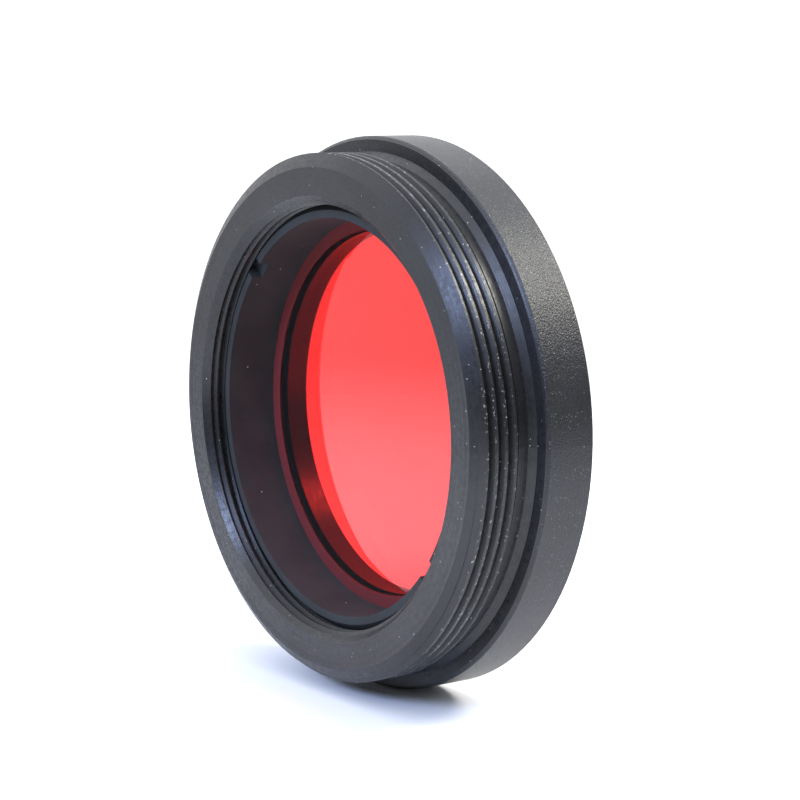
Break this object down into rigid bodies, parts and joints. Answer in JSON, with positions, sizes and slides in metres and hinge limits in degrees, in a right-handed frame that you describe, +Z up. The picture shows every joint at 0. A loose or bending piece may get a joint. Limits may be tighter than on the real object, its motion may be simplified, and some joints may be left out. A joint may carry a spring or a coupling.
{
  "type": "threaded colour filter",
  "caption": "Red glass colour filter in a black threaded cell that screws into a telescope eyepiece, held by a screwed retaining ring.",
  "frame": {"origin": "on the optical axis, half-way between the front face of the male thread and the plain rear face", "axes": "the optical axis is Y: -Y out of the threaded front, +Y out of the plain rear face, +Z up, +X to the right seen from the front"},
  "size_m": [0.0302, 0.0066, 0.0302],
  "materials": {
    "cell_anodised": "black anodised, satin on the turned faces, fine blasted on the flange's rim",
    "ring_anodised": "black anodised, satin",
    "red_glass": "polished faces, dyed red"
  },
  "bodies": {
    "cell": {"filter_cell": "cell_anodised"},
    "glass": {"filter_glass": "red_glass"},
    "ring": {"retaining_ring": "ring_anodised"}
  },
  "joints": [
    {"name": "glass_slide", "type": "slide", "parent": "cell", "child": "glass", "axis": [0, -1, 0], "range_m": [0, 0.00325]},
    {"name": "ring_turn", "type": "hinge", "parent": "glass", "child": "ring", "pos_m": [0, 0, 0], "axis": [0, -1, 0], "range_deg": [0, 2340]}
  ],
  "couplings": [
    {"joint": "ring_turn", "follows": "glass_slide", "rad_per_m": 12566}
  ]
}
